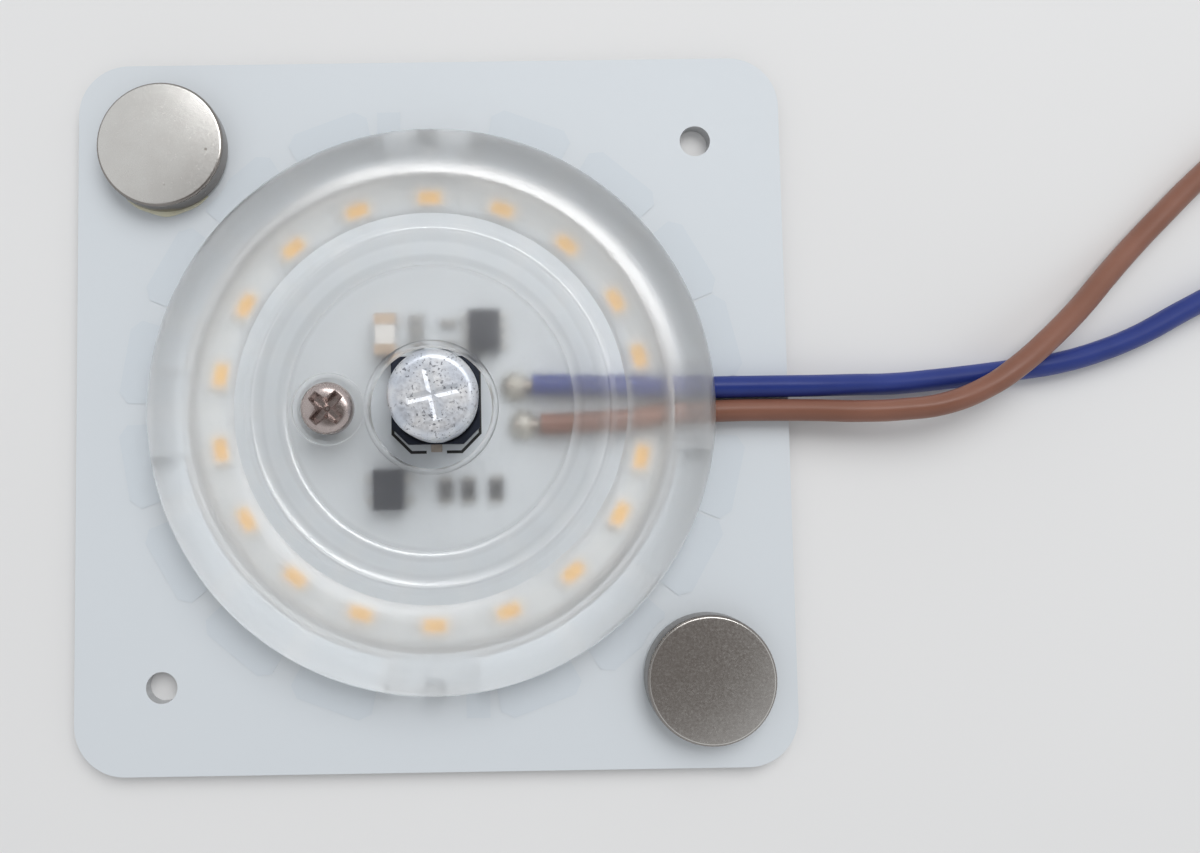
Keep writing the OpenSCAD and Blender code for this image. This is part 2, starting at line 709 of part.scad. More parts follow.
module fuse_body() {
    inner = fuse_w - 2 * fuse_cap_step;
    color("white") translate([fuse_x, fuse_y, board_t + fuse_cap_step])
        block(inner, fuse_l - 2 * fuse_cap_l, inner);
}

module fuse_caps() {
    color("peru") translate([fuse_x, fuse_y, board_t])
        chip_ends(fuse_l, fuse_w, fuse_w, fuse_cap_l);
}

// Bare strands inside the lens, straight on from the start of a lead
module soldered_end(route) {
    translate(route[0] - [soldered_end_l, 0, 0]) rotate([0, 90, 0]) cylinder(d = core_d, h = soldered_end_l);
}

module soldered_ends() {
    color("darkgoldenrod") {
        soldered_end(blue_route);
        soldered_end(brown_route);
    }
}

// Domed joint on the board, round the bare strands
module solder_joint(route) {
    difference() {
        translate([route[0].x - solder_gap - solder_r, route[0].y, board_t])
            rotate_extrude() polygon(concat([[0, 0]], arc(0, 0, solder_r, solder_h, 0, 90)));
        soldered_end(route);
    }
}

module solder_joints() {
    color("silver") {
        solder_joint(blue_route);
        solder_joint(brown_route);
    }
}

module blue_lead() {
    color("midnightblue") tube(blue_route);
}

module brown_lead() {
    color("saddlebrown") tube(brown_route);
}

// Stripped strands beyond the end of a lead
module lead_tip(route) {
    end = route[len(route) - 1];
    color("darkgoldenrod") translate(end) rotate([0, 90, 0]) cylinder(d = core_d, h = tip_l);
}

module magnet_disc(x, y) {
    r = magnet_d / 2;
    inner = r - magnet_edge_r;
    color("silver") translate([x, y, board_t + glue_t]) rotate_extrude() polygon(concat(
        [[0, 0]],
        arc(inner, magnet_edge_r, magnet_edge_r, magnet_edge_r, -90, 0, edge_steps),
        arc(inner, magnet_t - magnet_edge_r, magnet_edge_r, magnet_edge_r, 0, 90, edge_steps),
        [[0, magnet_t]]));
}

// Film of glue under each magnet, squeezed out along the lower edge
module magnet_glue() {
    r = magnet_d / 2;
    inner = r - magnet_edge_r;
    color("wheat") for (s = [-1, 1]) translate([s * magnet, -s * magnet, board_t]) {
        cylinder(r = inner, h = glue_t);
        rotate(glue_bead_turn) rotate_extrude(angle = glue_bead_span) polygon(concat(
            [[inner - eps, 0]],
            arc(r, 0, glue_bead_w, glue_bead_h, 0, 90, edge_steps),
            arc(inner, glue_t + magnet_edge_r, magnet_edge_r, magnet_edge_r, 0, -90, edge_steps),
            [[inner - eps, glue_t]]));
    }
}

circuit_board();
lens_screw();
capacitor_base();
capacitor_can();
capacitor_terminals();
for (i = [0 : led_count - 1])
    led(i);
led_phosphor();
led_terminals();
driver_chip();
driver_legs();
bridge_rectifier();
rectifier_legs();
for (i = [0 : len(resistor_xs) - 1])
    sense_resistor(i);
resistor_ends();
for (i = [0 : len(chip_places) - 1])
    small_chip(i);
small_chip_ends();
fuse_body();
fuse_caps();
soldered_ends();
solder_joints();
blue_lead();
brown_lead();
lead_tip(blue_route);  // blue_lead_tip
lead_tip(brown_route);  // brown_lead_tip
magnet_disc(-magnet, magnet);  // magnet_upper
magnet_disc(magnet, -magnet);  // magnet_lower
magnet_glue();
lens_cover();
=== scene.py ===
import math

import bmesh
import bpy
from mathutils import Matrix, Vector


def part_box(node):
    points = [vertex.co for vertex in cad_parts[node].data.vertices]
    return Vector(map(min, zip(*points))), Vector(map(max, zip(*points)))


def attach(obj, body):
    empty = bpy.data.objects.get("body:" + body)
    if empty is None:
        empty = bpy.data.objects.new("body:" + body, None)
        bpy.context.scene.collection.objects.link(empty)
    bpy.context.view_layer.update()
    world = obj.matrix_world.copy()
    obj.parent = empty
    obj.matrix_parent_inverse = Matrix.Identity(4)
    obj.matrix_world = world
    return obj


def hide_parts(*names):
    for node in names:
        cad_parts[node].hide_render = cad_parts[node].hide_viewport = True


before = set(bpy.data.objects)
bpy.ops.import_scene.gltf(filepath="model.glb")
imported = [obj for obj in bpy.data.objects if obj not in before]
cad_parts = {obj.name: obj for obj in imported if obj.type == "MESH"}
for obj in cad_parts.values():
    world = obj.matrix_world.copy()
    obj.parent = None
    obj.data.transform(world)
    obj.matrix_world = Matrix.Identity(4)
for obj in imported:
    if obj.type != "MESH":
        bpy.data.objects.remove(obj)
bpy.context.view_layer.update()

# Lengths are in millimetres and angles in degrees, unless a comment says otherwise
MM = 0.001

# Lens cover: radii and heights of its section, heights above the lens's foot
LENS_EDGE_H = 2.6
SLOPE_TOP_R = 25.8
SLOPE_RISE = 3.5
CREST_R = 26.8
HUMP_TOP_R = 27.3
VALLEY_R = 22.3
VALLEY_H = 5.0
RIDGE_R = 20.4
RIDGE_RISE = 0.45
RIDGE_EDGE_R = 0.6
COVE_R = 18.3
COVE_SHARE = 0.87
LEDGE_R = 17.6
LEDGE_H = 5.15
DISC_R = 16.3
DISC_H = 4.7
DISC_T = 1.5
HOLE_R = 7.0
BEAD_W = 0.7
BEAD_H = 0.3
CEILING_RUN = 1.0
HOLLOW_H = 2.9
LED_RING_R = 25.4
GROOVE_HALF_W = 2.4
GROOVE_RISE = 1.6
FOOT_INNER_R = 28.7
FOOT_FILLET = 0.7
LENS_LIFT = 0.02

# Lens cover: lead tunnels, every second one with a post, and the screw's boss and pocket; what cuts them
# goes on past the lens
TUNNELS = 4
TUNNEL_START_R = 27.7
TUNNEL_W = 10.2
TUNNEL_H = 2.8
POST_W = 2.6
POST_LEN = 2.8
BOSS_R = 3.7
BORE_R = 1.65
POCKET_R = 4.1
POCKET_DEPTH = 0.8
POCKET_LIP = 0.2
CUT_PAST = 1

# Lens cover: steps of its arcs, segments round it and the angle past which an edge stays sharp
SLOPE_STEPS = 32
HUMP_STEPS = 20
RIDGE_STEPS = 8
COVE_STEPS = 12
LEDGE_STEPS = 12
BEAD_STEPS = 10
GROOVE_STEPS = 24
FILLET_STEPS = 8
NOSE_STEPS = 16
LIP_STEPS = 6
LENS_SEGMENTS = 240
BOSS_SEGMENTS = 96
LENS_SHARP = 25

# Lens screw
HEAD_H = 2.2
HEAD_RIM_H = 0.9
HEAD_CHAMFER = 0.1
HEAD_FLATNESS = 0.68
POINT_LEN = 0.6
POINT_R = 0.95
SHANK_R = 1.45
THREAD_DEPTH = 0.3
THREAD_PITCH = 0.8
CROSS_LEN = 4.5
CROSS_W = 1.25
CROSS_LOW_LEN = 3.2
CROSS_LOW_W = 0.5
CROSS_DEPTH = 1.1
CROSS_PAST = 0.05
CROSS_BEVEL = 0.14
CROSS_SINK = 0.12
CROSS_TURN = 47
CORE_R = 1.25
CORE_LOW_R = 0.2
CORE_DEPTH = 1.4
CORE_PAST = 0.1
SHANK_STEPS = 60
DOME_STEPS = 24
SCREW_SEGMENTS = 96
CORE_SEGMENTS = 48
SCREW_SHARP = 35

# Capacitor can and the printed outline round its base
CAN_SHOULDER = 1.2
CAN_FOOT_CHAMFER = 0.3
CRIMP_H = 1.7
CRIMP_R = 0.9
CRIMP_DEPTH = 0.45
CRIMP_ARC = (250, 110)
SCORE_LEN = 5.8
SCORE_W = 1.1
SCORE_LOW_LEN = 5.2
SCORE_LOW_W = 0.2
SCORE_DEPTH = 0.15
SCORE_PAST = 0.01
SCORE_TURN = 12
CAN_STEPS = 14
CAN_SEGMENTS = 128
CAN_SHARP = 12
PRINT_W = 0.35
PRINT_T = 0.02
PRINT_SIDE = 0.05
PRINT_BELOW = 0.9
PRINT_CHAMFER = 2.2
PRINT_GAP = 2.4
MITRE_LEAST = 0.3

# Magnets and the glue that holds them
MAGNETS = ("magnet_upper", "magnet_lower")
MAGNET_EDGE_R = 0.4
MAGNET_STEPS = 8
MAGNET_SEGMENTS = 160
MAGNET_SHARP = 30
GLUE_W = 0.4
GLUE_H = 0.35
GLUE_UNDER = 0.7
GLUE_TURN = 228
GLUE_SPAN = 84
GLUE_STEPS = 60
GLUE_SWELL = 0.25
GLUE_SWELLS = 5
GLUE_LEAST = 0.03
GLUE_ARC_STEPS = 8
FILM_SEGMENTS = 120
GLUE_SHARP = 40

# Leads: their routes, in the order from the solder joint to the stripped end
LEAD_D = 2.6
LEAD_BEVEL = 6
CURVE_STEPS = 10
BLUE_ROUTE = [
    (11.8, 2.6, 2.9), (15, 2.6, 2.9), (20, 2.4, 2.9), (25, 2.2, 2.9), (30, 2.1, 2.9), (35, 2.1, 2.9),
    (40, 2.1, 2.9), (45, 2.1, 2.8), (50, 2.2, 2.3), (55, 2.3, 1.7), (60, 2.7, 1.4), (65, 3.2, 1.3),
    (70, 3.8, 1.3), (75, 4.5, 1.3), (80, 5.8, 1.3), (85, 7.7, 1.3), (91, 10.8, 1.3), (96, 13.2, 1.3),
    (101, 15, 1.3), (106, 16.1, 1.3), (111, 16.5, 1.3), (116, 16.5, 1.3), (120, 16.5, 1.3),
]
BROWN_ROUTE = [
    (12.7, -2, 2.9), (16, -2, 2.9), (20, -1.8, 2.9), (25, -1.4, 2.9), (30, -0.9, 2.9), (35, -0.7, 2.9),
    (40, -0.7, 2.9), (45, -0.8, 3), (50, -1, 3.2), (55, -0.9, 3.5), (60, -0.3, 3.8), (65, 1.6, 4),
    (69, 4.2, 4), (73, 7.4, 3.6), (77, 10.9, 2.9), (81, 14.8, 2), (85, 18.7, 1.4), (89, 22.6, 1.3),
    (93, 26.4, 1.3), (97, 29.8, 1.3), (101.5, 32.7, 1.3), (106.5, 34.6, 1.3), (111.5, 35.4, 1.3),
    (116.5, 35.4, 1.3),
]

# Bare ends: radius and number of the strands in each layer, and their twist in radians a millimetre
TIP_LEN = 6.0
TIP_STEPS = 16
STRAND_D = 0.24
STRAND_BEVEL = 2
STRAND_LAYERS = ((0, 1), (0.2232, 6), (0.432, 12))
STRAND_TWIST = 0.35

# Camera; it sees nothing nearer than CAMERA_NEAR, in metres
CAMERA_PLACE = (4.357, -6.907, 100.054)
CAMERA_TURN = (2.819, -0.170, -0.870)
CAMERA_LENS = 24.795
CAMERA_SENSOR = 36.0
CAMERA_SHIFT_X = 0.1061
CAMERA_NEAR = 0.005

# Lamps and the floor: distances and sizes in metres; the surround is dark round one direction
KEY_DISTANCE = 0.85
KEY_TILT = 41
KEY_TURN = 68
KEY_SIZE = (0.66, 0.66)
KEY_POWER = 3.7
GLINT_DISTANCE = 0.6
GLINT_TILT = 29
GLINT_TURN = 66
GLINT_SIZE = (0.66, 0.12)
GLINT_POWER = 1.15
DARK_TOWARDS = Vector((0.1, -0.06, 0.99)).normalized()
DARK_INNER = 15
DARK_OUTER = 34
WORLD_BRIGHT = (0.69, 0.7, 0.71, 1)
WORLD_DARK = (0.14, 0.125, 0.118, 1)
FLOOR_HALF = 2.0
FLOOR_DROP = 0.05
FLOOR_GREYS = (0.78, 0.8)

# Places taken from the frame
lens_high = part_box("lens_cover")[1]
board_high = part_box("circuit_board")[1]
screw_low, screw_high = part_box("lens_screw")
LENS_R = lens_high.y / MM
FOOT_Z = board_high.z / MM
SCREW_X = (screw_low.x + screw_high.x) / 2 / MM
SCREW_R = (screw_high.x - screw_low.x) / 2 / MM
SCREW_TIP_Z = screw_low.z / MM
SCREW_SEAT_Z = FOOT_Z + DISC_H - POCKET_DEPTH

# Board's look: depths under its top where the lands' colour starts and is full, and the upward part of
# the normal under which the metal is bare
LAND_START = 0.05
LAND_FULL = 0.02
BARE_BELOW = 0.5

# Lens's look: where its zones end, and how rough, coated, clear and sandy they are
LENS_SETTINGS = {"IOR": 1.49, "Specular IOR Level": 0.5, "Coat Roughness": 0.18, "Coat IOR": 1.9}
LENS_CLEAR = (0.985, 0.985, 0.98, 1)
# Painted warm glow: the lens is tinted warm round the LED ring in place of the LEDs' light scattered in it
LENS_PAINTED_GLOW = (0.985, 0.965, 0.935, 1)
PAINTED_GLOW_RUN = (1.0, 3.2)
ZONE_EDGE = 0.1
WALL_R = FOOT_INNER_R + 0.5
ROOF_Z = FOOT_Z + HOLLOW_H + GROOVE_RISE + ZONE_EDGE
SATIN = (0.28, 0.32)
DISC_ROUGHER = 0.03
UNDER_RING_ROUGHER = 0.22
UNDER_DISC_ROUGHER = 0.14
RIDGE_COAT = (RIDGE_R - 0.4, 0.9, 1.3)
LEDGE_COAT = (DISC_R + 0.4, 0.6, 1.0)
CREST_COAT_R = CREST_R - 1
LEAST_COAT = 0.1
SPARKLE_DEPTH = 0.035
SPARKLE_STRENGTH = 0.8
RING_TRANSMISSION = 0.955
DISC_TRANSMISSION = 0.985
RING_SAND = 0.35
SAND_DEPTH = 0.006
SAND_STRENGTH = 0.6

# Lens's look: shares of the lamps' light that its zones let through, and what dims it
DISC_LIGHT = 0.9
RIDGE_LIGHT = 0.77
RIDGE_LIGHT_R = DISC_R + 1
RING_LIGHT_MORE = 0.31
RING_LIGHT_RUN = (VALLEY_R - 1, VALLEY_R + 2)
LEAST_LIGHT = 0.03
SHADE_POWER = 3.5
TUNNEL_ROOF_SHADE = 0.75
TUNNEL_SIDE_SHADE = 0.15
TUNNEL_MID_Z = FOOT_Z + TUNNEL_H / 2

# Metals: colour, second colour, roughness, scale of the clouds and depth of the grain
METALS = {
    "copper_strands": ((0.7, 0.34, 0.2, 1), (0.6, 0.28, 0.16, 1), 0.3, 400, 0.01),
    "tinned_metal": ((0.74, 0.74, 0.72, 1), (0.6, 0.59, 0.56, 1), 0.28, 500, 0.01),
    "nickel_screw": ((0.52, 0.45, 0.43, 1), (0.45, 0.385, 0.37, 1), 0.24, 600, 0.004),
    "solder": ((0.68, 0.66, 0.61, 1), (0.6, 0.57, 0.5, 1), 0.6, 400, 0.02),
    "fuse_brass": ((0.68, 0.54, 0.42, 1), (0.6, 0.47, 0.36, 1), 0.3, 400, 0.008),
    # Small chips' ends: tin painted dark, a painted shade on the solder at the chips' ends
    "tin_painted_dark": ((0.24, 0.22, 0.2, 1), (0.18, 0.165, 0.15, 1), 0.4, 500, 0.01),
    "tinned_copper": ((0.56, 0.5, 0.45, 1), (0.47, 0.42, 0.37, 1), 0.55, 500, 0.01),
}

# Plastics and ceramics: colour, second colour, roughness, scale and depth of the grain, and shine
PLASTICS = {
    "black_moulding": ((0.009, 0.013, 0.026, 1), (0.013, 0.018, 0.034, 1), 0.5, 2400, 0.006, 0.3),
    "printed_ink": ((0.012, 0.012, 0.013, 1), (0.02, 0.02, 0.02, 1), 0.55, 2400, 0.006, 0.5),
    "phosphor": ((0.95, 0.55, 0.13, 1), (0.9, 0.5, 0.11, 1), 0.4, 3000, 0.01, 0.5),
    "fuse_ceramic": ((0.82, 0.8, 0.77, 1), (0.78, 0.76, 0.73, 1), 0.35, 2400, 0.006, 0.5),
    "led_housing": ((0.8, 0.8, 0.78, 1), (0.76, 0.76, 0.74, 1), 0.35, 2400, 0.006, 0.5),
    "resistor_body": ((0.045, 0.047, 0.052, 1), (0.06, 0.06, 0.065, 1), 0.4, 2400, 0.006, 0.5),
    "chip_ceramic": ((0.4, 0.39, 0.37, 1), (0.34, 0.33, 0.31, 1), 0.4, 2400, 0.006, 0.5),
}

# Leads: route, colour and second colour of the insulation
LEADS = {
    "blue": (BLUE_ROUTE, (0.013, 0.03, 0.19, 1), (0.018, 0.038, 0.22, 1)),
    "brown": (BROWN_ROUTE, (0.215, 0.092, 0.06, 1), (0.24, 0.105, 0.07, 1)),
}

# Looks of the nodes that keep their own shape, by name or else by the start of the name
NODE_LOOKS = {
    "circuit_board": "white_mask_board",
    "capacitor_base": "black_moulding",
    "driver_chip": "black_moulding",
    "bridge_rectifier": "black_moulding",
    "capacitor_terminals": "tinned_copper",
    "led_terminals": "tinned_metal",
    "driver_legs": "tinned_metal",
    "rectifier_legs": "tinned_metal",
    "resistor_ends": "tinned_metal",
    # The small chips' ends get the tin with the painted shade
    "small_chip_ends": "tin_painted_dark",
    "led_phosphor": "phosphor",
    "fuse_body": "fuse_ceramic",
    "fuse_caps": "fuse_brass",
    "soldered_ends": "tinned_copper",
    "solder_joints": "solder",
}
FAMILY_LOOKS = {"led_": "led_housing", "sense_resistor_": "resistor_body", "small_chip_": "chip_ceramic"}


# Mesh helpers

def arc(centre, half_w, half_h, start, end, steps):
    """Points of an elliptic arc."""
    angles = [math.radians(start + (end - start) * i / steps) for i in range(steps + 1)]
    return [(centre[0] + half_w * math.cos(a), centre[1] + half_h * math.sin(a)) for a in angles]


def polar(radius, angle, height):
    """A point in metres at a radius, an angle in radians and a height."""
    return (radius * math.cos(angle) * MM, radius * math.sin(angle) * MM, height * MM)


def bridge(bm, first, second):
    """Faces between two closed rings of points; a point that a face meets twice counts once."""
    for i in range(len(first)):
        j = (i + 1) % len(first)
        bm.faces.new(list(dict.fromkeys((first[i], first[j], second[j], second[i]))))


def turned(section, segments, closed=False, ripple=None):
    """A section of (radius, height) points turned round the Z axis."""
    bm = bmesh.new()
    rings = []
    for radius, height in section:
        if radius == 0:
            rings.append([bm.verts.new((0, 0, height * MM))] * segments)
            continue
        ring = []
        for i in range(segments):
            angle = 2 * math.pi * i / segments
            out = ripple(radius, height, angle) if ripple else radius
            ring.append(bm.verts.new(polar(out, angle, height)))
        rings.append(ring)
    for lower, upper in zip(rings, rings[1:]):
        bridge(bm, lower, upper)
    if closed:
        bridge(bm, rings[-1], rings[0])
    return bm


def drawn(low_outline, low, top_outline, high):
    """A solid between an outline of (x, y) points at one height and an outline at another."""
    bm = bmesh.new()
    bottom = [bm.verts.new((x * MM, y * MM, low * MM)) for x, y in low_outline]
    top = [bm.verts.new((x * MM, y * MM, high * MM)) for x, y in top_outline]
    bm.faces.new(bottom)
    bm.faces.new(top)
    bridge(bm, bottom, top)
    return bm


def tapered(top_size, low_size, low, high):
    """A bar along X whose length and width shrink from its top to its bottom."""
    corners = ((-1, -1), (1, -1), (1, 1), (-1, 1))
    outlines = []
    for length, width in (low_size, top_size):
        outlines.append([(x * length / 2, y * width / 2) for x, y in corners])
    return drawn(outlines[0], low, outlines[1], high)


def place(bm, name, at=(0, 0, 0), turn=0):
    """Makes an object of a mesh, turned about Z and moved, with its place in its mesh."""
    bmesh.ops.recalc_face_normals(bm, faces=bm.faces)
    move = Matrix.Translation(Vector(at) * MM) @ Matrix.Rotation(math.radians(turn), 4, "Z")
    bmesh.ops.transform(bm, matrix=move, verts=bm.verts)
    mesh = bpy.data.meshes.new(name)
    bm.to_mesh(mesh)
    bm.free()
    thing = bpy.data.objects.new(name, mesh)
    bpy.context.scene.collection.objects.link(thing)
    return thing


def carve(piece, helpers, operation="DIFFERENCE"):
    """Cuts helpers from a piece, or joins them to it, and takes the helpers away."""
    for helper in helpers:
        modifier = piece.modifiers.new(helper.name, "BOOLEAN")
        modifier.operation = operation
        modifier.solver = "MANIFOLD"
        modifier.object = helper
    bpy.context.view_layer.update()
    shape = piece.evaluated_get(bpy.context.evaluated_depsgraph_get())
    mesh = bpy.data.meshes.new_from_object(shape)
    piece.modifiers.clear()
    piece.data = mesh
    for helper in helpers:
        bpy.data.objects.remove(helper)


def smooth(piece, angle):
    """Shades a piece smooth, with edges sharper than the angle kept."""
    piece.data.polygons.foreach_set("use_smooth", [True] * len(piece.data.polygons))
    piece.data.set_sharp_from_angle(angle=math.radians(angle))


def dress(piece, look, slot, *nodes):
    """Gives a new piece its material and body, and hides the nodes that it stands for; the slot is not used.
    """
    piece.data.materials.clear()
    piece.data.materials.append(look)
    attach(piece, "root")
    if nodes:
        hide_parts(*nodes)


def round_box(low, high):
    """Centre, radius, bottom and top of the box round a turned node, in millimetres."""
    return (low + high) / 2 / MM, (high.x - low.x) / 2 / MM, low.z / MM, high.z / MM


# Node helpers

def add(tree, kind, inputs=None, **settings):
    """Adds a node; an input is a value or another node's socket."""
    node = tree.nodes.new(kind)
    for name, value in settings.items():
        setattr(node, name, value)
    for key, value in (inputs or {}).items():
        if isinstance(value, bpy.types.NodeSocket):
            tree.links.new(value, node.inputs[key])
        else:
            node.inputs[key].default_value = value
    return node


def material(name, inputs):
    """A material with one Principled shader; gives the material, its tree and the shader."""
    made = bpy.data.materials.new(name)
    made.use_nodes = True
    shader = made.node_tree.nodes["Principled BSDF"]
    for key, value in inputs.items():
        shader.inputs[key].default_value = value
    return made, made.node_tree, shader


def link(tree, source, shader, name):
    """Drives one of the shader's inputs."""
    tree.links.new(source, shader.inputs[name])


def calc(tree, operation, first, second=0.0):
    """Maths with one or two values."""
    return add(tree, "ShaderNodeMath", {0: first, 1: second}, operation=operation).outputs[0]


def rest(tree, share):
    """What a share leaves of 1."""
    return calc(tree, "SUBTRACT", 1.0, share)


def vector_calc(tree, operation, *vectors):
    """Vector maths; a length or a dot product is a value, and anything else a vector."""
    node = add(tree, "ShaderNodeVectorMath", dict(enumerate(vectors)), operation=operation)
    return node.outputs["Value" if operation in ("LENGTH", "DOT_PRODUCT") else "Vector"]


def upright(tree, vector):
    """The Z part of a vector."""
    return add(tree, "ShaderNodeSeparateXYZ", {0: vector}).outputs["Z"]


def place_of(tree):
    """The surface point's place in its own object, in metres."""
    return add(tree, "ShaderNodeTexCoord").outputs["Object"]


def normal_of(tree):
    """The surface's normal."""
    return add(tree, "ShaderNodeNewGeometry").outputs["Normal"]


def stretched(tree, scale):
    """The surface point's place, scaled along each axis."""
    return vector_calc(tree, "MULTIPLY", place_of(tree), scale)


def mapped(tree, value, low, high, to_low, to_high, interpolation="LINEAR"):
    """A value moved from one range into another, and kept inside it."""
    inputs = {"Value": value, "From Min": low, "From Max": high, "To Min": to_low, "To Max": to_high}
    return add(tree, "ShaderNodeMapRange", inputs, interpolation_type=interpolation).outputs["Result"]


def near(tree, radius, centre, inner, outer, interpolation="LINEAR"):
    """1 close to a radius, and 0 further from it."""
    gap = calc(tree, "ABSOLUTE", calc(tree, "SUBTRACT", radius, centre * MM))
    return mapped(tree, gap, inner * MM, outer * MM, 1, 0, interpolation)


def noise(tree, scale, detail, vector=None):
    """A soft random pattern."""
    inputs = {"Vector": vector or place_of(tree), "Scale": scale, "Detail": detail}
    return add(tree, "ShaderNodeTexNoise", inputs).outputs["Fac"]


def spread(tree, pattern, low, high):
    """A random pattern drawn out over a range."""
    return mapped(tree, pattern, 0.3, 0.7, low, high)


def clouds(tree, scale, detail):
    """A random pattern with more contrast, from 0 to 1."""
    return mapped(tree, noise(tree, scale, detail), 0.35, 0.65, 0, 1)


def specks(tree, scale, inner, outer, strength):
    """Round specks in one cell in five of a random pattern, and 0 elsewhere."""
    cells = add(tree, "ShaderNodeTexVoronoi", {"Vector": place_of(tree), "Scale": scale})
    lot = add(tree, "ShaderNodeSeparateColor", {0: cells.outputs["Color"]}).outputs[0]
    speck = mapped(tree, cells.outputs["Distance"], inner, outer, strength, 0)
    return calc(tree, "MULTIPLY", speck, calc(tree, "GREATER_THAN", lot, 0.8))


def blended(tree, share, first, second):
    """A colour between two colours."""
    node = add(tree, "ShaderNodeMix", {0: share, 6: first, 7: second}, data_type="RGBA")
    return node.outputs[2]


def bumped(tree, shader, height, distance, strength, name="Normal"):
    """Bump from a height that runs from 0 to 1."""
    inputs = {"Height": height, "Distance": distance * MM, "Strength": strength}
    link(tree, add(tree, "ShaderNodeBump", inputs).outputs["Normal"], shader, name)


def grey(value):
    """A colour without hue."""
    return (value, value, value, 1)


# Materials

def board_look():
    """White mask on the top, brushed aluminium on the sides and back, lands a shade bluer."""
    made, tree, shader = material("white_mask_board", {"Roughness": 0.42, "Specular IOR Level": 0.25})
    mask = (0.675, 0.715, 0.75, 1)
    land = (0.64, 0.69, 0.735, 1)
    cloudy = (0.6, 0.64, 0.68, 1)
    aluminium = (0.6, 0.61, 0.62, 1)
    speck = (0.12, 0.11, 0.1, 1)
    height = upright(tree, place_of(tree))
    on_land = mapped(tree, height, board_high.z - LAND_START * MM, board_high.z - LAND_FULL * MM, 0, 1)
    painted = blended(tree, on_land, mask, land)
    painted = blended(tree, spread(tree, noise(tree, scale=60, detail=4), 0, 0.06), painted, cloudy)
    painted = blended(tree, specks(tree, scale=140, inner=0.012, outer=0.02, strength=0.8), painted, speck)
    bare = calc(tree, "LESS_THAN", upright(tree, normal_of(tree)), BARE_BELOW)
    link(tree, blended(tree, bare, painted, aluminium), shader, "Base Color")
    link(tree, bare, shader, "Metallic")
    brushed = noise(tree, scale=900, detail=3, vector=stretched(tree, (0.03, 1, 1)))
    grain = noise(tree, scale=1500, detail=2)
    streaks = calc(tree, "MULTIPLY", bare, spread(tree, brushed, -0.1, 0.1))
    link(tree, calc(tree, "ADD", streaks, spread(tree, grain, 0.38, 0.46)), shader, "Roughness")
    relief = calc(tree, "ADD", calc(tree, "MULTIPLY", brushed, bare), grain)
    bumped(tree, shader, relief, distance=0.004, strength=0.5)
    return made


def lens_surface(tree, shader, radius, low):
    """How rough, coated, clear and sandy the lens is, zone by zone, with a painted warm glow round the LED
    ring.
    """
    disc = mapped(tree, radius, (DISC_R - ZONE_EDGE) * MM, (DISC_R + ZONE_EDGE) * MM, 1, 0)
    under = calc(tree, "MULTIPLY", low, calc(tree, "LESS_THAN", radius, WALL_R * MM))
    rough = spread(tree, noise(tree, scale=250, detail=2), *SATIN)
    rough = calc(tree, "ADD", rough, calc(tree, "MULTIPLY", disc, DISC_ROUGHER))
    frost = mapped(tree, disc, 0, 1, UNDER_RING_ROUGHER, UNDER_DISC_ROUGHER)
    link(tree, calc(tree, "ADD", rough, calc(tree, "MULTIPLY", under, frost)), shader, "Roughness")

    coated = calc(tree, "MAXIMUM", near(tree, radius, *RIDGE_COAT), near(tree, radius, *LEDGE_COAT))
    crest = mapped(tree, radius, CREST_COAT_R * MM, CREST_R * MM, LEAST_COAT, 1)
    coated = calc(tree, "MAXIMUM", coated, crest)
    link(tree, calc(tree, "MULTIPLY", coated, rest(tree, under)), shader, "Coat Weight")

    link(tree, mapped(tree, disc, 0, 1, RING_TRANSMISSION, DISC_TRANSMISSION), shader, "Transmission Weight")
    # Painted warm glow of the LEDs' light, strongest over their ring
    painted_glow = near(tree, radius, LED_RING_R, *PAINTED_GLOW_RUN, "SMOOTHSTEP")
    link(tree, blended(tree, painted_glow, LENS_CLEAR, LENS_PAINTED_GLOW), shader, "Base Color")

    sand = noise(tree, scale=3200, detail=3)
    bumped(tree, shader, sand, SPARKLE_DEPTH, SPARKLE_STRENGTH, "Coat Normal")
    sand = calc(tree, "MULTIPLY", sand, calc(tree, "ADD", disc, RING_SAND))
    bumped(tree, shader, sand, SAND_DEPTH, SAND_STRENGTH)


